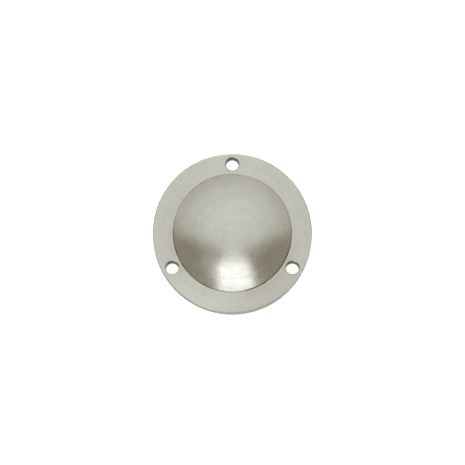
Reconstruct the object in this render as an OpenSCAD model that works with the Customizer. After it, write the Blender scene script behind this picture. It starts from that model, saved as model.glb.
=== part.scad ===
// Floor door holder: a low round floor plate with a concave catch dish and
// three fixing holes. Millimetres, +Z up, origin at the centre of the face
// that lies on the floor.

/* [Body ring] */
// Outer diameter of the metal body ring
body_d = 50; // [40:0.5:65]
// Width of the flat flange between the dish and the outer edge
flange_w = 6.4; // [6:0.1:9]
// Radius of the rounded top edge
edge_r = 0.25; // [0.15:0.05:0.8]
// Chamfer along the bottom edge
base_chamfer = 0.3; // [0.1:0.05:0.6]

/* [Fixing holes] */
// Number of fixing holes
hole_count = 3; // [3:1:4]
// Diameter of a fixing hole
hole_d = 4.2; // [3.5:0.1:5.4]
// Angle of the first fixing hole, counted from +X
hole_start = 90; // [0:5:360]
// Break of the sharp edge around a fixing hole
hole_break = 0.15; // [0.05:0.05:0.3]

/* [Dish] */
// Depth of the dish below the flange
dish_depth = 5; // [4:0.1:7]
// Wall thickness of the dish
dish_wall = 1; // [0.8:0.1:1.4]
// Width of the flat foot under the dish's rim
foot_w = 1.35; // [1.1:0.05:1.6]
// Gap around the dish in its seat
seat_gap = 0.05; // [0.02:0.01:0.1]
// Break of the sharp edge around the dish's seat
seat_break = 0.1; // [0.05:0.05:0.2]
// Space between the dish's skin and the body below the seat
relief_gap = 0.15; // [0.1:0.05:0.3]

/* [Magnet] */
// Thickness of the ring magnet
magnet_t = 2.5; // [1.5:0.1:3]
// Gap around the magnet in the body's bore
magnet_side_gap = 0.2; // [0.1:0.05:0.4]
// Gap between the magnet and the dish's skin above it
magnet_top_gap = 0.3; // [0.1:0.05:0.4]

/* [Keeper plate] */
// Thickness of the keeper plate
keeper_t = 1.5; // [1:0.1:1.8]
// Gap around the keeper plate in its pocket
keeper_gap = 0.1; // [0.05:0.05:0.2]
// Metal left between the plate's pocket and a fixing hole
pocket_wall = 0.8; // [0.6:0.1:1]
// Width of the ring of metal that the plate is screwed to
land_w = 4.3; // [4:0.1:4.8]
// Free height between the plate and the lowest point of the dish
base_gap = 1.5; // [0.6:0.1:2]

/* [Keeper screws] */
// Number of keeper screws
screw_count = 3; // [3:1:6]
// Thread diameter of a keeper screw
screw_d = 1.6; // [1.4:0.1:1.8]
// Diameter of the countersunk head
screw_head_d = 3; // [2.6:0.1:3.2]
// Length of a keeper screw, head included
screw_len = 5; // [3:0.1:6]
// Gap around the screw's shank and under its head
screw_gap = 0.05; // [0.03:0.01:0.08]
// Width of the driver slot
slot_w = 0.4; // [0.3:0.05:0.5]
// Depth of the driver slot
slot_depth = 0.35; // [0.2:0.05:0.4]

/* [Floor pad] */
// Thickness of the rubber floor pad
pad_t = 1; // [0.5:0.1:1.5]
// Distance that the pad stays inside the body's bottom edge
pad_inset = 0.2; // [0.1:0.05:0.5]
// Extra diameter of the pad's holes over the fixing holes
pad_hole_extra = 0.5; // [0.3:0.1:0.8]

/* [Hidden] */

$fn = 128;
SMALL_FN = 48;
CUT = 0.5; // how far a cutting shape runs past the face that it opens

nickel = "#c4c0b5";
satin_nickel = "#b9b4a7";
magnet_plating = "#a9abad";
zinc = "#9ea3a6";
black_rubber = "#2a2a2b";

body_r = body_d / 2;
hole_r = hole_d / 2;
hole_circle_r = body_r - flange_w / 2;

// Levels, from the floor up.
body_z = pad_t;
keeper_top_z = body_z + keeper_t;
magnet_top_z = keeper_top_z + magnet_t;
top_z = keeper_top_z + base_gap + dish_wall + dish_depth;

// The dish is part of a ball whose chord is the opening in the flange.
seat_r = body_r - flange_w;
dish_r = seat_r - seat_gap;
ball_r = (seat_r ^ 2 + dish_depth ^ 2) / (2 * dish_depth);
ball_z = top_z - dish_depth + ball_r;
skin_r = ball_r + dish_wall;
foot_z = ball_z - sqrt(skin_r ^ 2 - (dish_r - foot_w) ^ 2);

// The keeper plate's pocket stops short of the fixing holes.
pocket_r = hole_circle_r - hole_r - pocket_wall;
bore_r = pocket_r - land_w;
screw_circle_r = (bore_r + pocket_r) / 2;
screw_r = screw_d / 2;
screw_head_r = screw_head_d / 2;
screw_head_t = screw_head_r - screw_r;

// The magnet's bore lets the bottom of the dish reach down through it.
magnet_outer_r = bore_r - magnet_side_gap;
magnet_bore_r = sqrt(skin_r ^ 2 - (ball_z - magnet_top_z - magnet_top_gap) ^ 2);

// Places its children on the circle of the fixing holes.
module at_fixing_holes() {
    for (i = [0 : hole_count - 1])
        rotate(hole_start + i * 360 / hole_count)
            translate([hole_circle_r, 0, 0])
                children();
}

// Places its children on the keeper screws' circle, between the fixing holes.
module at_keeper_screws() {
    for (i = [0 : screw_count - 1])
        rotate(hole_start + 180 / hole_count + i * 360 / screw_count)
            translate([screw_circle_r, 0, 0])
                children();
}

// The ring's outside: chamfered below, rounded above.
module body_blank() {
    side_h = top_z - body_z - edge_r;
    translate([0, 0, body_z])
        rotate_extrude()
            union() {
                polygon([
                    [0, 0],
                    [body_r - base_chamfer, 0],
                    [body_r, base_chamfer],
                    [body_r, side_h],
                    [0, side_h]
                ]);
                square([body_r - edge_r, side_h + edge_r]);
                translate([body_r - edge_r, side_h])
                    intersection() {
                        circle(r = edge_r, $fn = SMALL_FN);
                        square(edge_r);
                    }
            }
}

// A cone that breaks the sharp edge of an opening of radius r in the flange.
module edge_break(r, size) {
    translate([0, 0, top_z - size])
        cylinder(r1 = r, r2 = r + size + CUT, h = size + CUT);
}

// One fixing hole with its edge broken at the flange.
module fixing_hole() {
    translate([0, 0, body_z - CUT])
        cylinder(r = hole_r, h = top_z - body_z + 2 * CUT, $fn = SMALL_FN);
    edge_break(hole_r, hole_break, $fn = SMALL_FN);
}

// A countersunk screw's outline, grown by gap; its head's flat side is down.
module screw_outline(gap, len) {
    cylinder(r = screw_r + gap, h = len, $fn = SMALL_FN);
    cylinder(r1 = screw_head_r + gap, r2 = screw_r + gap, h = screw_head_t, $fn = SMALL_FN);
}

// Room for the dish's skin below the ledge that its foot stands on.
module dish_relief() {
    intersection() {
        translate([0, 0, ball_z])
            sphere(r = skin_r + relief_gap);
        cylinder(r = seat_r, h = foot_z);
    }
}

// Turned ring that carries everything and is fixed to the floor.
module body_ring() {
    color(nickel)
        difference() {
            body_blank();
            translate([0, 0, body_z - CUT])
                cylinder(r = bore_r, h = top_z - body_z + 2 * CUT);
            translate([0, 0, body_z - CUT])
                cylinder(r = pocket_r, h = keeper_t + CUT);
            dish_relief();
            translate([0, 0, foot_z])
                cylinder(r = seat_r, h = top_z - foot_z + CUT);
            edge_break(seat_r, seat_break);
            at_fixing_holes()
                fixing_hole();
            at_keeper_screws()
                translate([0, 0, body_z - CUT])
                    cylinder(r = screw_r + screw_gap, h = screw_len + 2 * CUT, $fn = SMALL_FN);
        }
}

// Concave dish with a flat foot that stands on the ring's ledge.
module catch_dish() {
    color(satin_nickel)
        difference() {
            union() {
                translate([0, 0, foot_z])
                    cylinder(r = dish_r, h = top_z - foot_z);
                intersection() {
                    translate([0, 0, ball_z])
                        sphere(r = skin_r);
                    cylinder(r = dish_r, h = top_z);
                }
            }
            translate([0, 0, ball_z])
                sphere(r = ball_r);
        }
}

// Ring magnet that lies on the keeper plate, around the dish's lowest part.
module ring_magnet() {
    color(magnet_plating)
        translate([0, 0, keeper_top_z])
            difference() {
                cylinder(r = magnet_outer_r, h = magnet_t);
                translate([0, 0, -CUT])
                    cylinder(r = magnet_bore_r, h = magnet_t + 2 * CUT);
            }
}

// Steel plate that closes the underside and carries the magnet.
module keeper_plate() {
    color(zinc)
        difference() {
            translate([0, 0, body_z])
                cylinder(r = pocket_r - keeper_gap, h = keeper_t);
            at_keeper_screws()
                translate([0, 0, body_z]) {
                    screw_outline(screw_gap, keeper_t + CUT);
                    translate([0, 0, -CUT])
                        cylinder(r = screw_head_r + screw_gap, h = CUT, $fn = SMALL_FN);
                }
        }
}

// Countersunk screws that hold the keeper plate to the ring.
module keeper_screws() {
    color(zinc)
        at_keeper_screws()
            translate([0, 0, body_z])
                difference() {
                    screw_outline(0, screw_len);
                    translate([-screw_head_r - CUT, -slot_w / 2, -CUT])
                        cube([screw_head_d + 2 * CUT, slot_w, slot_depth + CUT]);
                }
}

// Rubber disc between the metal and the floor.
module floor_pad() {
    color(black_rubber)
        difference() {
            cylinder(r = body_r - base_chamfer - pad_inset, h = pad_t);
            at_fixing_holes()
                translate([0, 0, -CUT])
                    cylinder(r = hole_r + pad_hole_extra / 2, h = pad_t + 2 * CUT, $fn = SMALL_FN);
        }
}

body_ring();
catch_dish();
ring_magnet();
keeper_plate();
keeper_screws();
floor_pad();
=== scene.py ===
# %% [markdown]
# # A floor door holder in satin nickel
# A low round plate is screwed to the floor, and the ball of the door's catch drops into its dish. The
# frame below brings in the six pieces as they were designed, in metres, with the floor at height 0.
# Nothing here moves or reshapes them. What is left to do is the surface of each piece, the light and the
# camera.

# %% Load the designed pieces
import math
import bpy
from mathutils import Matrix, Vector


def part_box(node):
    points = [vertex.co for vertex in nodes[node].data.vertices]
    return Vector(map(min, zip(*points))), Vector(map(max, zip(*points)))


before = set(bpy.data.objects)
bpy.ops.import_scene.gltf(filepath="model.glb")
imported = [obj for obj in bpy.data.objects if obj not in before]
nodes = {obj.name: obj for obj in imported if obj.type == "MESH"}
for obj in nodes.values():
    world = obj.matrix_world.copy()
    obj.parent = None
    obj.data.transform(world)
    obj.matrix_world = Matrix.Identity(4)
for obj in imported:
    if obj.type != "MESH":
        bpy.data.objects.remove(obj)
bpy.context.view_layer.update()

MM = 0.001
UM = 0.000001
print("pieces:", sorted(nodes))

# %% [markdown]
# ## Sizes that the finishes need
# Every pattern on this holder runs round its axis, so a finish has to know where the flange ends and the
# dish begins, and how high the top face is. Reading these off the boxes of the pieces keeps the finishes
# right when a size of the design changes.

# %% Read the sizes off the pieces
ring_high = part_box("body_ring")[1]
outer_r = ring_high.x
top_z = ring_high.z
dish_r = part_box("catch_dish")[1].x
print(f"outer radius {outer_r / MM:.2f}, dish radius {dish_r / MM:.2f}, top at {top_z / MM:.2f} mm")

# %% [markdown]
# ## Camera
# A long lens two metres away looks almost straight down, some five degrees off the vertical, so the near
# wall and the far walls of the holes only just show. The lens is worked out from the width of floor that
# it should take in.

# %% Place the camera
CAMERA_ELEVATION = math.radians(84.5)
CAMERA_DISTANCE = 2.0
FIELD_WIDTH = 146 * MM
SENSOR_WIDTH = 36.0
aim = Vector((0.05 * MM, 0.2 * MM, top_z))
camera_data = bpy.data.cameras.new("camera")
camera_data.sensor_width = SENSOR_WIDTH
camera_data.lens = SENSOR_WIDTH * CAMERA_DISTANCE / FIELD_WIDTH
camera = bpy.data.objects.new("camera", camera_data)
bpy.context.scene.collection.objects.link(camera)
to_camera = Vector((0.0, -math.cos(CAMERA_ELEVATION), math.sin(CAMERA_ELEVATION)))
camera.location = aim + to_camera * CAMERA_DISTANCE
camera.rotation_euler = (-to_camera).to_track_quat("-Z", "Y").to_euler()
bpy.context.scene.camera = camera
print(f"lens {camera_data.lens:.0f} mm")

# %% [markdown]
# ## Studio light
# Metal shows its surroundings, and a hollow shows all of them at once, upside down. So the light is built
# as in a product studio, from flat panels that the metal can mirror. A panel is described by its bearing
# and tilt as seen from the holder, and it faces the holder from another tilt, as a window in a wall does.
# Its power is worked out from how bright it should look in the metal, so a panel can be made larger
# without getting brighter.

# %% Make a soft panel
def direction(bearing, tilt):
    """The way from the holder to a bearing from +Y and a tilt from the vertical, in degrees."""
    turn = math.radians(bearing)
    lean = math.radians(tilt)
    return Vector((math.sin(turn) * math.sin(lean), math.cos(turn) * math.sin(lean), math.cos(lean)))

def soft_panel(name, bearing, tilt, facing_tilt, distance, width, height, brightness, colour):
    """A rectangular light that stands at one tilt and faces the holder from another."""
    data = bpy.data.lights.new(name, "AREA")
    data.shape = "RECTANGLE"
    data.size = width
    data.size_y = height
    data.color = colour
    data.energy = brightness * math.pi * width * height
    panel = bpy.data.objects.new(name, data)
    bpy.context.scene.collection.objects.link(panel)
    panel.location = Vector((0, 0, top_z)) + direction(bearing, tilt) * distance
    panel.rotation_euler = direction(bearing, facing_tilt).to_track_quat("Z", "Y").to_euler()
    print(f"{name}: {data.energy:.2f} W")

print("panels ready")

# %% [markdown]
# A window stands on the far side, and the near half of the dish gathers it into a highlight that fans out
# towards the rim. Beside it hangs a thin curtain, which lets only some light through and softens that
# side of the highlight. Its last fold is fainter still.

# %% Hang the window and its curtain
DAYLIGHT = (0.97, 1.0, 1.09)
soft_panel(
    "window", bearing=-3.5, tilt=46, facing_tilt=65, distance=1.55,
    width=0.78, height=1.06, brightness=1.12, colour=DAYLIGHT
)
soft_panel(
    "curtain", bearing=19, tilt=42, facing_tilt=65, distance=1.60,
    width=0.32, height=0.42, brightness=0.50, colour=DAYLIGHT
)
soft_panel(
    "curtain_fold", bearing=37, tilt=40, facing_tilt=65, distance=1.60,
    width=0.26, height=0.30, brightness=0.28, colour=DAYLIGHT
)

# %% [markdown]
# Two soft boxes stand low, one on the near left side and one on the right. The left one draws a thin
# bright line on the rounded edge of the flange at the near side, and both put a soft sheen on the upright
# wall when it is seen from the side.

# %% Stand the side boxes
STUDIO_WHITE = (1.0, 0.99, 0.97)
soft_panel(
    "left_box", bearing=-158, tilt=83, facing_tilt=84, distance=1.70,
    width=0.70, height=0.36, brightness=2.6, colour=STUDIO_WHITE
)
soft_panel(
    "right_box", bearing=110, tilt=80, facing_tilt=84, distance=1.80,
    width=0.40, height=0.70, brightness=1.0, colour=STUDIO_WHITE
)

# %% [markdown]
# ## Helpers for node trees
# A finish is a graph of small nodes, and most of them do one of five things: stretch a range of values,
# do arithmetic, do arithmetic on vectors, take a vector apart, or blend two colours. A helper for each
# keeps the later cells short enough to read as recipes.

# %% Make the helpers
def map_range(tree, value, low, high, to_low, to_high, smooth=False):
    """Turns a value between low and high into one between to_low and to_high."""
    node = tree.nodes.new("ShaderNodeMapRange")
    node.interpolation_type = "SMOOTHSTEP" if smooth else "LINEAR"
    for name, setting in (("From Min", low), ("From Max", high), ("To Min", to_low), ("To Max", to_high)):
        node.inputs[name].default_value = setting
    tree.links.new(value, node.inputs["Value"])
    return node.outputs["Result"]

def calculate(tree, operation, *values):
    """One step of arithmetic on sockets and numbers."""
    node = tree.nodes.new("ShaderNodeMath")
    node.operation = operation
    for place, value in enumerate(values):
        if isinstance(value, (int, float)):
            node.inputs[place].default_value = value
        else:
            tree.links.new(value, node.inputs[place])
    return node.outputs["Value"]

def vector_step(tree, operation, first, second=None):
    """One step of vector arithmetic; the second value is a socket or three numbers."""
    node = tree.nodes.new("ShaderNodeVectorMath")
    node.operation = operation
    tree.links.new(first, node.inputs[0])
    if isinstance(second, tuple):
        node.inputs[1].default_value = second
    elif second is not None:
        tree.links.new(second, node.inputs[1])
    return node.outputs["Value" if operation in ("LENGTH", "DISTANCE") else "Vector"]

def separate(tree, vector):
    """The parts of a vector, to be read as X, Y and Z."""
    node = tree.nodes.new("ShaderNodeSeparateXYZ")
    tree.links.new(vector, node.inputs["Vector"])
    return node.outputs

def mix_colour(tree, share, first, second):
    """Blends two colours, each a socket or a tuple."""
    node = tree.nodes.new("ShaderNodeMix")
    node.data_type = "RGBA"
    factor, colour_a, colour_b = node.inputs[0], node.inputs[6], node.inputs[7]
    tree.links.new(share, factor)
    for socket, colour in ((colour_a, first), (colour_b, second)):
        if isinstance(colour, tuple):
            socket.default_value = colour
        else:
            tree.links.new(colour, socket)
    return node.outputs[2]

print("node helpers ready")

# %% [markdown]
# ## Room
# The room is painted by direction, because only its light is needed. A white ceiling hangs overhead. It
# gets darker towards the horizon and is brightest on the near side. On the far side it ends at a dark
# wall, along a line that bends a little towards the holder at both ends. The wall gives the dish its two
# dark flanks, and it is a little lighter at its foot, where the white floor shines on it.

# %% Build the ceiling and the wall
HORIZON_LIGHT, ZENITH_LIGHT, NEAR_SIDE_GAIN = 0.30, 0.70, 1.09
WALL_FOOT, WALL_TOP = 0.30, 0.235
LOWEST_HEIGHT = 0.05
EDGE_BEND, EDGE_BEND_END = 0.42, 0.8
CEILING_EDGE, NEAR_SIDE_EDGE = (0.40, 0.66), (-0.4, 0.05)
CEILING_HEIGHTS, WALL_HEIGHTS = (0.30, 1.0), (0.35, 0.70)
world = bpy.data.worlds.new("room")
world.use_nodes = True
tree = world.node_tree
seen_at = separate(tree, tree.nodes.new("ShaderNodeTexCoord").outputs["Generated"])
height = calculate(tree, "MAXIMUM", seen_at["Z"], LOWEST_HEIGHT)
to_far_side = calculate(tree, "DIVIDE", seen_at["Y"], height)
to_one_side = calculate(tree, "DIVIDE", calculate(tree, "ABSOLUTE", seen_at["X"]), height)
to_one_side = calculate(tree, "MINIMUM", to_one_side, EDGE_BEND_END)
past_ceiling = calculate(tree, "MULTIPLY_ADD", to_one_side, EDGE_BEND, to_far_side)
is_ceiling = map_range(tree, past_ceiling, *CEILING_EDGE, 1.0, 0.0, smooth=True)
ceiling = map_range(tree, seen_at["Z"], *CEILING_HEIGHTS, HORIZON_LIGHT, ZENITH_LIGHT)
near_side = map_range(tree, to_far_side, *NEAR_SIDE_EDGE, NEAR_SIDE_GAIN, 1.0, smooth=True)
ceiling = calculate(tree, "MULTIPLY", ceiling, near_side)
wall = map_range(tree, seen_at["Z"], *WALL_HEIGHTS, WALL_FOOT, WALL_TOP)
above_wall = calculate(tree, "SUBTRACT", ceiling, wall)
room_light = calculate(tree, "MULTIPLY_ADD", above_wall, is_ceiling, wall)
print("ceiling and wall built with", len(tree.nodes), "nodes")

# %% [markdown]
# What is dark in this room is also warmer, as wood is beside a white ceiling, so the colour is taken from
# the brightness. Below the floor the room is a light table, which shows through the fixing holes and
# wherever the holder is looked at from underneath.

# %% Colour the room and light it from below
LIGHT_TABLE, TABLE_EDGE = 0.7, (-0.35, -0.10)
WARM, WHITE, WARM_TO_WHITE = (1.0, 0.912, 0.755, 1.0), (1.0, 1.0, 0.98, 1.0), (0.26, 0.60)
below_floor = map_range(tree, seen_at["Z"], *TABLE_EDGE, LIGHT_TABLE, 0.0, smooth=True)
room_light = calculate(tree, "ADD", room_light, below_floor)
whiteness = map_range(tree, room_light, *WARM_TO_WHITE, 0.0, 1.0)
background = tree.nodes["Background"]
tree.links.new(room_light, background.inputs["Strength"])
tree.links.new(mix_colour(tree, whiteness, WARM, WHITE), background.inputs["Color"])
bpy.context.scene.world = world
bpy.context.scene.view_settings.view_transform = "Standard"
print("room painted with", len(tree.nodes), "nodes")

# %% [markdown]
# ## Floor
# A plain pale sheet lies under the holder, far wider than the view, so that no edge of it shows. It stays
# one flat square, because a material can say where it is clear and how it looks to the metal.

# %% Lay the floor
FLOOR_SIZE = 6.0
bpy.ops.object.select_all(action="DESELECT")
bpy.ops.mesh.primitive_plane_add(size=FLOOR_SIZE, location=(0, 0, 0))
floor = bpy.context.active_object
floor.name = "floor"
print(f"floor {FLOOR_SIZE:.0f} m wide")

# %% [markdown]
# In the metal's reflection the white sheet would melt into the holder's wall, so the Light Path node
# paints a darker reflection there: rays that come off a glossy surface see a greyer sheet, with a painted
# shadow that is darkest close to the holder, which gives the wall a soft change from its foot to its edge.
#
# Right under the holder the sheet has a round opening, a little smaller than the pad. The light table
# below it shines through the fixing holes and lights the pad's underside, which would be pure black on a
# closed sheet. The sheet is also clear when it is seen from below, which the Backfacing output tells.

# %% Paint the floor
OPENING_MARGIN = 0.5 * MM
SHEET_WHITE = (0.93, 0.93, 0.925, 1.0)
# Painted reflection and painted shadow: the sheet as the metal sees it, greyer and darkest next to the
# holder.
SHADOWED_SHEET_NEAR, REFLECTED_SHEET_FAR, SHEET_SHADOW_REACH = (0.27, 0.26, 0.24, 1.0), (0.66, 0.66, 0.65, 1.0), 70 * MM

def new_material(name):
    """A new material; returns it with its tree, its shader and its place on the object."""
    material = bpy.data.materials.new(name)
    material.use_nodes = True
    tree = material.node_tree
    spot = tree.nodes.new("ShaderNodeTexCoord").outputs["Object"]
    return material, tree, tree.nodes["Principled BSDF"], spot

material, tree, shader, spot = new_material("pale_floor")
from_axis = vector_step(tree, "LENGTH", spot)
far_off = map_range(tree, from_axis, outer_r, outer_r + SHEET_SHADOW_REACH, 0.0, 1.0)
# Painted shadow in the reflection, darkest at the holder's foot.
painted_reflection_shade = mix_colour(tree, far_off, SHADOWED_SHEET_NEAR, REFLECTED_SHEET_FAR)
is_glossy = tree.nodes.new("ShaderNodeLightPath").outputs["Is Glossy Ray"]
tree.links.new(mix_colour(tree, is_glossy, SHEET_WHITE, painted_reflection_shade), shader.inputs["Base Color"])
shader.inputs["Roughness"].default_value = 0.9
shader.inputs["Specular IOR Level"].default_value = 0.1
opening_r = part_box("floor_pad")[1].x - OPENING_MARGIN
past_opening = calculate(tree, "GREATER_THAN", from_axis, opening_r)
from_below = tree.nodes.new("ShaderNodeNewGeometry").outputs["Backfacing"]
from_above = calculate(tree, "SUBTRACT", 1.0, from_below)
tree.links.new(calculate(tree, "MULTIPLY", past_opening, from_above), shader.inputs["Alpha"])
floor.data.materials.append(material)
print(f"opening {opening_r / MM:.1f} mm in radius")

# %% [markdown]
# One more lamp shines down from behind the camera, so that the sheet comes out white. A sun gives the
# same light all over, and its small angle keeps the shadows soft. The metal isn't allowed to mirror it.

# %% Light the floor
LAMP_STRENGTH, LAMP_ANGLE = 3.3, math.radians(4)
lamp_data = bpy.data.lights.new("floor_lamp", "SUN")
lamp_data.energy = LAMP_STRENGTH
lamp_data.angle = LAMP_ANGLE
floor_lamp = bpy.data.objects.new("floor_lamp", lamp_data)
floor_lamp.rotation_euler = to_camera.to_track_quat("Z", "Y").to_euler()
floor_lamp.visible_glossy = False
bpy.context.scene.collection.objects.link(floor_lamp)
print(f"lamp {LAMP_STRENGTH} W/m2")

# %% [markdown]
# ## Helpers for node groups
# An effect that several metals share is a node group, built once and placed in each material with its own
# values. Most of them start from soft noise. Nearly all of its values lie around the middle, so a mask
# stretches that middle part to the full range.

# %% Make the group helpers
NOISE_MIDDLE, CLOUD_MIDDLE = (0.3, 0.7), (0.35, 0.65)

def new_group(name, inputs, outputs):
    """A shader node group with named sockets; returns its tree, what it is given and its results."""
    group = bpy.data.node_groups.new(name, "ShaderNodeTree")
    group.interface.new_socket("Vector", in_out="INPUT", socket_type="NodeSocketVector")
    for socket, value in inputs.items():
        made = group.interface.new_socket(socket, in_out="INPUT", socket_type="NodeSocketFloat")
        made.default_value = value
    for socket in outputs:
        group.interface.new_socket(socket, in_out="OUTPUT", socket_type="NodeSocketFloat")
    return group, group.nodes.new("NodeGroupInput").outputs, group.nodes.new("NodeGroupOutput").inputs

def use_group(tree, group, vector, **values):
    """Places a group in a tree with its own values; returns its output sockets."""
    node = tree.nodes.new("ShaderNodeGroup")
    node.node_tree = group
    tree.links.new(vector, node.inputs["Vector"])
    for name, value in values.items():
        node.inputs[name].default_value = value
    return node.outputs

def noise(tree, vector, scale=1.0, detail=2.0, roughness=0.5):
    """A cloud of soft noise read at a vector."""
    node = tree.nodes.new("ShaderNodeTexNoise")
    node.inputs["Scale"].default_value = scale
    node.inputs["Detail"].default_value = detail
    node.inputs["Roughness"].default_value = roughness
    tree.links.new(vector, node.inputs["Vector"])
    return node.outputs["Fac"]

def scaled(tree, vector, factor):
    """A vector times the value of a socket."""
    node = tree.nodes.new("ShaderNodeVectorMath")
    node.operation = "SCALE"
    tree.links.new(vector, node.inputs["Vector"])
    tree.links.new(factor, node.inputs["Scale"])
    return node.outputs["Vector"]

def flattened(tree, vector):
    """The same place with its height left out."""
    return vector_step(tree, "MULTIPLY", vector, (1.0, 1.0, 0.0))

print("group helpers ready")

# %% [markdown]
# ## Turning lines
# The ring and the dish are cut on a lathe, so the tool's fine lines run round the axis: on the flange
# they are circles, and on the outer wall they are circles one above the other. One number that grows
# along both, the radius plus the height, gives a pattern that follows the tool everywhere. A little
# change along the circle keeps the lines from being perfect rings.

# %% Make the turning lines
TONE_OFFSET, TONE_SCALE = (7.0, 3.0, 40.0), 0.4
turning_lines, given, result = new_group(
    "turning_lines", {"Pitch": 0.5 * MM, "Drift": 1.0}, ("Height", "Tone")
)
tree = turning_lines
flat = flattened(tree, given["Vector"])
height = separate(tree, given["Vector"])["Z"]
along_cut = calculate(tree, "ADD", vector_step(tree, "LENGTH", flat), height)
stack = tree.nodes.new("ShaderNodeCombineXYZ")
tree.links.new(calculate(tree, "DIVIDE", along_cut, given["Pitch"]), stack.inputs["Z"])
drifted = scaled(tree, vector_step(tree, "NORMALIZE", flat), given["Drift"])
on_line = vector_step(tree, "ADD", stack.outputs["Vector"], drifted)
tree.links.new(noise(tree, on_line, detail=4.0, roughness=0.6), result["Height"])
elsewhere = vector_step(tree, "ADD", on_line, TONE_OFFSET)
tree.links.new(noise(tree, elsewhere, scale=TONE_SCALE, detail=4.0, roughness=0.65), result["Tone"])
print("turning_lines:", len(tree.nodes), "nodes")

# %% [markdown]
# ## Hairline scratches
# Wiping and handling leave short straight scratches at every angle over the turned lines. Noise that is
# squeezed hard in one direction and cut off near its peaks gives such strokes, and a second, wide noise
# thins them out. One group gives the strokes of one angle, and a metal uses it several times. Its second
# output is the coarser, unbroken streaks that abrasive paper leaves.

# %% Make the hairlines
STROKE_LENGTH, STROKE_WIDTH, STROKE_RISE = 6.0 * MM, 0.12 * MM, 0.06
STREAK_SQUEEZE = (1.8, 0.42, 1.8)
PATCHES_PER_METRE, PATCH_MIDDLE = 110.0, (0.35, 0.6)
hairlines, given, result = new_group("hairlines", {"Angle": 0.0, "Rarity": 0.64}, ("Strokes", "Streaks"))
tree = hairlines
turn = tree.nodes.new("ShaderNodeVectorRotate")
turn.rotation_type = "Z_AXIS"
tree.links.new(given["Vector"], turn.inputs["Vector"])
tree.links.new(given["Angle"], turn.inputs["Angle"])
turned = turn.outputs["Vector"]
squeeze = (1 / STROKE_LENGTH, 1 / STROKE_WIDTH, 1 / STROKE_LENGTH)
squeezed = vector_step(tree, "MULTIPLY", turned, squeeze)
worn_patch = map_range(tree, noise(tree, turned, scale=PATCHES_PER_METRE), *PATCH_MIDDLE, 0.8, 1.0)
stroke = calculate(tree, "MULTIPLY", noise(tree, squeezed), worn_patch)
above = calculate(tree, "SUBTRACT", stroke, given["Rarity"])
tree.links.new(map_range(tree, above, 0.0, STROKE_RISE, 0.0, 1.0), result["Strokes"])
coarser = vector_step(tree, "MULTIPLY", squeezed, STREAK_SQUEEZE)
streak = noise(tree, coarser, detail=3.0, roughness=0.6)
tree.links.new(map_range(tree, streak, *NOISE_MIDDLE, 0.0, 1.0), result["Streaks"])
print("hairlines:", len(tree.nodes), "nodes")

# %% [markdown]
# ## Seam line and shade
# The dish is a separate cup let into the ring, and the hair-thin gap around it shows as a fine brown
# line. The line is made darker at the near left and the near right as painted shade. Folding the left
# half onto the right lets one distance serve both places. Both pieces are darkened next to the gap, a
# dark joint with painted shade beside it, so the band along it is a group as well.

# %% Make the seam line and its painted shade
# Painted shade: where the seam darkens most, at the near left and the near right.
DARKEST_SEAM_SIDE, SEAM_SHADE_REACH = (0.74, -0.67, 0.0), (0.35, 1.0)
SEAM_CORE, FAINTEST_SEAM_MARK = 0.3, 0.3
seam_line_and_shade, given, result = new_group("seam_line_and_shade", {"Seam Radius": dish_r, "Width": 0.3 * MM}, ("Mask",))
tree = seam_line_and_shade
flat = flattened(tree, given["Vector"])
off_seam = calculate(tree, "SUBTRACT", vector_step(tree, "LENGTH", flat), given["Seam Radius"])
widths_off = calculate(tree, "DIVIDE", calculate(tree, "ABSOLUTE", off_seam), given["Width"])
band = map_range(tree, widths_off, SEAM_CORE, 1.0, 1.0, 0.0, smooth=True)
outward = vector_step(tree, "NORMALIZE", flat)
uneven = noise(tree, outward, scale=2.6, detail=3.0)
amount = map_range(tree, uneven, *CLOUD_MIDDLE, FAINTEST_SEAM_MARK, 1.0)
parts = separate(tree, outward)
folded = tree.nodes.new("ShaderNodeCombineXYZ")
tree.links.new(calculate(tree, "ABSOLUTE", parts["X"]), folded.inputs["X"])
tree.links.new(parts["Y"], folded.inputs["Y"])
# Painted shade: the seam line darkens towards the near left and the near right.
off_darkest_side = vector_step(tree, "DISTANCE", folded.outputs["Vector"], DARKEST_SEAM_SIDE)
near_side_shade = map_range(tree, off_darkest_side, *SEAM_SHADE_REACH, 1.0, 0.0, smooth=True)
amount = calculate(tree, "MULTIPLY", amount, near_side_shade)
tree.links.new(calculate(tree, "MULTIPLY", band, amount), result["Mask"])
print("seam_line_and_shade:", len(tree.nodes), "nodes")

# %% [markdown]
# ## Blotches and grain
# No plated surface is even. It has wide soft patches from the bath and from hands, and a fine grain from
# the sheet or the polishing mop. Patches are wide soft noise, and grain is the same noise stretched far
# in one direction, so one group gives both.

# %% Make the blotches and the grain
GRAIN_STRETCH = (0.02, 1.0, 1.0)
blotches, given, result = new_group("blotches", {"Size": 4.0 * MM, "Width": 0.1 * MM}, ("Patches", "Grain"))
tree = blotches
wide = scaled(tree, given["Vector"], calculate(tree, "DIVIDE", 1.0, given["Size"]))
patches = noise(tree, wide, detail=3.0)
tree.links.new(map_range(tree, patches, *CLOUD_MIDDLE, 0.0, 1.0, smooth=True), result["Patches"])
fine = scaled(tree, given["Vector"], calculate(tree, "DIVIDE", 1.0, given["Width"]))
rolled = vector_step(tree, "MULTIPLY", fine, GRAIN_STRETCH)
tree.links.new(noise(tree, rolled, detail=3.0, roughness=0.6), result["Grain"])
print("blotches:", len(tree.nodes), "nodes")

# %% [markdown]
# ## Satin nickel
# Each metal is one Principled shader. Its fine lines spread reflections across the cut and hardly along
# it, so the highlight keeps crisp sides but a soft inner end. Anisotropy with a tangent round the axis
# does that. Every finish ends in the same way, with a bump and with its colour and roughness connected,
# so both steps are helpers.

# %% Start a metal that is turned on a lathe
ANISOTROPY, QUARTER_TURN = 0.5, 0.25

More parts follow.
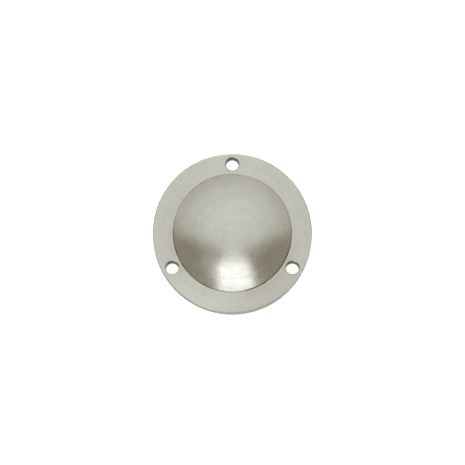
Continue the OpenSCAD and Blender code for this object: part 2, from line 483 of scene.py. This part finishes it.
def turned_shader(name):
    """A metal that spreads reflections across a cut round the Z axis."""
    material, tree, shader, spot = new_material(name)
    shader.inputs["Metallic"].default_value = 1.0
    shader.inputs["Anisotropic"].default_value = ANISOTROPY
    shader.inputs["Anisotropic Rotation"].default_value = QUARTER_TURN
    tangent = tree.nodes.new("ShaderNodeTangent")
    tangent.direction_type = "RADIAL"
    tangent.axis = "Z"
    tree.links.new(tangent.outputs["Tangent"], shader.inputs["Tangent"])
    return material, tree, shader, spot

def raise_skin(tree, shader, relief):
    """Gives a shader a relief whose height is in metres."""
    bump = tree.nodes.new("ShaderNodeBump")
    bump.inputs["Distance"].default_value = 1.0
    tree.links.new(relief, bump.inputs["Height"])
    tree.links.new(bump.outputs["Normal"], shader.inputs["Normal"])

def dress(node, material, tree, shader, colour, rough):
    """Connects a finished colour and roughness and puts the material on its piece."""
    tree.links.new(colour, shader.inputs["Base Color"])
    tree.links.new(rough, shader.inputs["Roughness"])
    nodes[node].data.materials.clear()
    nodes[node].data.materials.append(material)
    print(f"{material.name}: {len(tree.nodes)} nodes on {node}")

print("finish helpers ready")

# %% [markdown]
# The groups then drive colour, roughness and relief, each only a little, because satin nickel looks even
# at first sight and shows its marks only in the highlight. Scratches are kept off upright walls, which
# nobody steps on or wipes across, and the relief is shallow there, so that a wall doesn't sparkle at a
# low angle.

# %% Add the marks of turning and handling
NICKEL_LIGHT, NICKEL_DARK = (0.83, 0.826, 0.75, 1.0), (0.745, 0.736, 0.654, 1.0)
STEEP, WALL_RELIEF = 0.5, 0.2
SCRATCH_ANGLES, SCRATCH_DULLING = (0.3, 1.2, 2.1, 2.8), 0.10
LINE_TONES, PATCH_SHARE, GRAIN_SHARE = (-0.1, 0.5), 0.35, 0.5
ROUGHNESS_CHANGE = 0.04

def scratches(tree, spot, level):
    """Hairlines at several angles; returns the sharp strokes and the soft streaks."""
    strokes = 0.0
    streaks = 0.0
    for angle in SCRATCH_ANGLES:
        marks = use_group(tree, hairlines, spot, Angle=angle)
        strokes = calculate(tree, "MAXIMUM", marks["Strokes"], strokes)
        streaks = calculate(tree, "ADD", marks["Streaks"], streaks)
    not_steep = calculate(tree, "GREATER_THAN", level, STEEP)
    return calculate(tree, "MULTIPLY", strokes, not_steep), streaks

def turned_metal(name, roughness, pitch, line_depth, scratch_depth):
    """A lathe-cut nickel; its level is 1 on a face that lies flat and 0 on an upright one."""
    material, tree, shader, spot = turned_shader(name)
    facing = separate(tree, tree.nodes.new("ShaderNodeNewGeometry").outputs["True Normal"])
    level = calculate(tree, "ABSOLUTE", facing["Z"])
    cut = use_group(tree, turning_lines, spot, Pitch=pitch, Drift=1.6)
    strokes, streaks = scratches(tree, spot, level)
    look = use_group(tree, blotches, spot, Size=2.2 * MM, Width=0.16 * MM)
    tone = map_range(tree, cut["Tone"], *NOISE_MIDDLE, *LINE_TONES)
    tone = calculate(tree, "MULTIPLY_ADD", look["Patches"], PATCH_SHARE, tone)
    tone = calculate(tree, "MULTIPLY_ADD", look["Grain"], GRAIN_SHARE, tone)
    colour = mix_colour(tree, tone, NICKEL_DARK, NICKEL_LIGHT)
    roughest = roughness + ROUGHNESS_CHANGE
    smoothest = roughness - ROUGHNESS_CHANGE
    rough = map_range(tree, cut["Tone"], *NOISE_MIDDLE, roughest, smoothest)
    rough = calculate(tree, "MULTIPLY_ADD", strokes, SCRATCH_DULLING, rough)
    relief = calculate(tree, "MULTIPLY", cut["Height"], line_depth)
    relief = calculate(tree, "MULTIPLY_ADD", strokes, -scratch_depth, relief)
    relief = calculate(tree, "MULTIPLY_ADD", streaks, scratch_depth, relief)
    shallower = map_range(tree, level, 0.0, STEEP, WALL_RELIEF, 1.0)
    raise_skin(tree, shader, calculate(tree, "MULTIPLY", relief, shallower))
    return material, tree, shader, spot, level, colour, rough

print("turned metal ready")

# %% [markdown]
# ## Dish
# The dish is turned more finely than the ring and is a little glossier. Its rim has a brown, dull line
# at the seam, a dark joint that is made darker at the near left and near right as painted shade.

# %% Finish the dish
# Seam brown: the colour of the dark joint line and of the painted shade beside it.
SEAM_BROWN, SEAM_DULLING = (0.26, 0.17, 0.095, 1.0), 0.3
material, tree, shader, spot, level, colour, rough = turned_metal(
    "satin_nickel_dish", roughness=0.23, pitch=0.42 * MM, line_depth=13 * UM, scratch_depth=3 * UM
)
# Dark seam line, with painted shade at the near left and the near right.
seam_darkening = use_group(tree, seam_line_and_shade, spot, Width=0.45 * MM)["Mask"]
colour = mix_colour(tree, seam_darkening, colour, SEAM_BROWN)
rough = calculate(tree, "MULTIPLY_ADD", seam_darkening, SEAM_DULLING, rough)
dress("catch_dish", material, tree, shader, colour, rough)

# %% [markdown]
# ## Ring
# The ring has a satin flange and a coarser outer wall. The walls of the fixing holes are drilled, not
# polished, and are painted dark as painted shade inside the holes; the broken edge around them is painted
# darker too, but less. One material can serve all of these faces when it knows which is which: they
# differ in how steep they are and in how far they lie from the axis.

# %% Tell the faces of the ring apart
SLANT = 0.8
WALL_BAND, SEAM_BAND = 0.8 * MM, 1.0 * MM
material, tree, shader, spot, level, colour, rough = turned_metal(
    "satin_nickel_ring", roughness=0.32, pitch=0.5 * MM, line_depth=4 * UM, scratch_depth=4 * UM
)
flat = flattened(tree, spot)
from_axis = vector_step(tree, "LENGTH", flat)
past_seam = calculate(tree, "GREATER_THAN", from_axis, dish_r + SEAM_BAND)
at_rim = calculate(tree, "GREATER_THAN", from_axis, outer_r - WALL_BAND)
between = calculate(tree, "SUBTRACT", past_seam, at_rim)
upright = calculate(tree, "LESS_THAN", level, STEEP)
slanting = calculate(tree, "SUBTRACT", calculate(tree, "LESS_THAN", level, SLANT), upright)
outer_wall = calculate(tree, "MULTIPLY", upright, at_rim)
bore_wall = calculate(tree, "MULTIPLY", upright, between)
broken_edge = calculate(tree, "MULTIPLY", slanting, between)
print("faces told apart with", len(tree.nodes), "nodes")

# %% [markdown]
# After turning, the flange was dressed by hand with fine paper, which leaves slanting streaks. A
# slightly brighter stretch on its near left side is a painted highlight, the darker near right side is
# painted shade, and next to the seam the flange is a little brown with painted shade. Each of these is a
# mask that fades with the distance from its place.

# %% Dress the flange
DRESSING_ANGLE, DRESSING_GLOSS, STREAK_SHARE = -0.55, -0.04, 0.6
# Painted highlight: the near left stretch of the flange is made lighter.
HIGHLIGHT_SIDE, HIGHLIGHT_REACH, HIGHLIGHT_SHARE = (-0.45, -0.89, 0.0), (0.15, 0.65), 0.35
# Painted shade: the near right side of the flange is made darker.
SHADED_SIDE, SIDE_SHADE_REACH, SIDE_SHADE_SHARE = (0.55, -0.83, 0.0), (0.1, 0.8), 0.38
# Painted shade: a wide soft brown band on the flange beside the seam.
SEAM_SHADE_WIDTH, SEAM_SHADE_SHARE = 4.5 * MM, 0.14
STREAK_AND_HIGHLIGHT_NICKEL, SHADED_NICKEL = (0.97, 0.965, 0.885, 1.0), (0.64, 0.63, 0.56, 1.0)
streaks = use_group(tree, hairlines, spot, Angle=DRESSING_ANGLE)["Streaks"]
outward = vector_step(tree, "NORMALIZE", flat)
# Painted highlight on the near left, with the real sanding streaks added to it.
off_highlight_side = vector_step(tree, "DISTANCE", outward, HIGHLIGHT_SIDE)
streaks_and_highlight = map_range(tree, off_highlight_side, *HIGHLIGHT_REACH, HIGHLIGHT_SHARE, 0.0, smooth=True)
either_way = calculate(tree, "SUBTRACT", streaks, 0.5)
streaks_and_highlight = calculate(tree, "MULTIPLY_ADD", either_way, STREAK_SHARE, streaks_and_highlight)
# Painted shade on the near right side of the flange.
off_shaded_side = vector_step(tree, "DISTANCE", outward, SHADED_SIDE)
side_shade = map_range(tree, off_shaded_side, *SIDE_SHADE_REACH, SIDE_SHADE_SHARE, 0.0, smooth=True)
line = use_group(tree, seam_line_and_shade, spot, Width=0.3 * MM)["Mask"]
# Dark seam line, and a wide band of painted shade beside it.
seam_shade = use_group(tree, seam_line_and_shade, spot, Width=SEAM_SHADE_WIDTH)["Mask"]
seam_darkening = calculate(tree, "MAXIMUM", line, calculate(tree, "MULTIPLY", seam_shade, SEAM_SHADE_SHARE))
colour = mix_colour(tree, streaks_and_highlight, colour, STREAK_AND_HIGHLIGHT_NICKEL)
colour = mix_colour(tree, side_shade, colour, SHADED_NICKEL)
colour = mix_colour(tree, seam_darkening, colour, SEAM_BROWN)
rough = calculate(tree, "MULTIPLY_ADD", streaks, DRESSING_GLOSS, rough)
print("flange dressed with", len(tree.nodes), "nodes")

# %% [markdown]
# The walls and the broken edges come last, so that no mark of the flange runs over them.

# %% Finish the ring
# Painted shade: the bore walls are nearly black and their broken edges are darker.
WALL_NICKEL, SHADED_BORE_METAL = (0.80, 0.79, 0.72, 1.0), (0.09, 0.08, 0.064, 1.0)
SHADED_EDGE_METAL = (0.54, 0.525, 0.465, 1.0)
WALL_DULLING, BORE_DULLING = 0.08, 0.08
colour = mix_colour(tree, outer_wall, colour, WALL_NICKEL)
# Painted shade on the broken edges, then on the bore walls.
colour = mix_colour(tree, broken_edge, colour, SHADED_EDGE_METAL)
colour = mix_colour(tree, bore_wall, colour, SHADED_BORE_METAL)
rough = calculate(tree, "MULTIPLY_ADD", upright, WALL_DULLING, rough)
rough = calculate(tree, "MULTIPLY_ADD", bore_wall, BORE_DULLING, rough)
dress("body_ring", material, tree, shader, colour, rough)

# %% [markdown]
# ## Zinc plate and magnet plating
# Under the dish lie the parts that nobody polishes: a blanked steel plate, its three screws and the ring
# magnet. Bright zinc is blotchy, from bluish to straw-coloured, and the plate also shows the straight
# grain of rolled sheet. The magnet is nickel-plated over a cast body and is the smoothest of the three.
# One function serves them all, because they differ only in colour, gloss and the size of the marks.

# %% Finish the plate, its screws and the magnet
WIPE_ANGLE, WIPE_RARITY, WIPE_DULLING = 0.9, 0.6, 0.12
PLATING_DULLER, PLATING_GLOSSIER = 0.08, 0.04

def plated_metal(node, name, light, dark, roughness, grain_depth, patch_size):
    """A plated steel or magnet body with blotches, rolled grain and hairlines."""
    material, tree, shader, spot = new_material(name)
    shader.inputs["Metallic"].default_value = 1.0
    look = use_group(tree, blotches, spot, Size=patch_size)
    strokes = use_group(tree, hairlines, spot, Angle=WIPE_ANGLE, Rarity=WIPE_RARITY)["Strokes"]
    colour = mix_colour(tree, look["Patches"], dark, light)
    roughest = roughness + PLATING_DULLER
    smoothest = roughness - PLATING_GLOSSIER
    rough = map_range(tree, look["Patches"], 0.0, 1.0, roughest, smoothest)
    rough = calculate(tree, "MULTIPLY_ADD", strokes, WIPE_DULLING, rough)
    raise_skin(tree, shader, calculate(tree, "MULTIPLY", look["Grain"], grain_depth))
    dress(node, material, tree, shader, colour, rough)

plated_metal(
    "keeper_plate", "zinc_plated_sheet", light=(0.66, 0.69, 0.72, 1), dark=(0.60, 0.60, 0.55, 1),
    roughness=0.30, grain_depth=6 * UM, patch_size=4 * MM
)
plated_metal(
    "keeper_screws", "zinc_plated_screw", light=(0.64, 0.67, 0.70, 1), dark=(0.60, 0.58, 0.52, 1),
    roughness=0.26, grain_depth=2 * UM, patch_size=1 * MM
)
plated_metal(
    "ring_magnet", "magnet_plating", light=(0.72, 0.71, 0.68, 1), dark=(0.64, 0.63, 0.60, 1),
    roughness=0.16, grain_depth=1 * UM, patch_size=2 * MM
)

# %% [markdown]
# ## Rubber pad
# The pad is moulded black rubber. It is matt, and its skin has the fine grain of a spark-eroded mould.
# Grey floor dust sticks to it, mostly low down on its rim and on the face that stands on the floor. Two
# noises of different grain size drive the bump, so that the skin doesn't look like one repeated cell.

# %% Finish the rubber
RUBBER_BLACK, RUBBER_WORN = (0.022, 0.022, 0.023, 1.0), (0.042, 0.041, 0.039, 1.0)
BLACK_ROUGHNESS, WORN_ROUGHNESS = 0.52, 0.68
DUST, DUST_DULLING, DUST_AT_FLOOR, DUST_AT_TOP = (0.20, 0.185, 0.16, 1.0), 0.25, 0.40, 0.05
SPECKS_PER_METRE, SPECK_RISE = 2600.0, (0.50, 0.64)
FINE_PER_METRE, FINE_DEPTH = 6000.0, 12 * UM
COARSE_PER_METRE, COARSE_DEPTH = 1400.0, 16 * UM
pad_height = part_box("floor_pad")[1].z
material, tree, shader, spot = new_material("black_rubber")
shader.inputs["Specular IOR Level"].default_value = 0.35
patches = use_group(tree, blotches, spot, Size=6 * MM)["Patches"]
low_down = map_range(tree, separate(tree, spot)["Z"], 0.0, pad_height, DUST_AT_FLOOR, DUST_AT_TOP)
specks = noise(tree, spot, scale=SPECKS_PER_METRE, detail=3.0, roughness=0.7)
specks = map_range(tree, specks, *SPECK_RISE, 0.0, 1.0)
dusty = calculate(tree, "MULTIPLY", specks, low_down)
colour = mix_colour(tree, patches, RUBBER_BLACK, RUBBER_WORN)
colour = mix_colour(tree, dusty, colour, DUST)
rough = map_range(tree, patches, 0.0, 1.0, BLACK_ROUGHNESS, WORN_ROUGHNESS)
rough = calculate(tree, "MULTIPLY_ADD", dusty, DUST_DULLING, rough)
skin = calculate(tree, "MULTIPLY", noise(tree, spot, scale=FINE_PER_METRE), FINE_DEPTH)
skin = calculate(tree, "MULTIPLY_ADD", noise(tree, spot, scale=COARSE_PER_METRE), COARSE_DEPTH, skin)
raise_skin(tree, shader, skin)
dress("floor_pad", material, tree, shader, colour, rough)
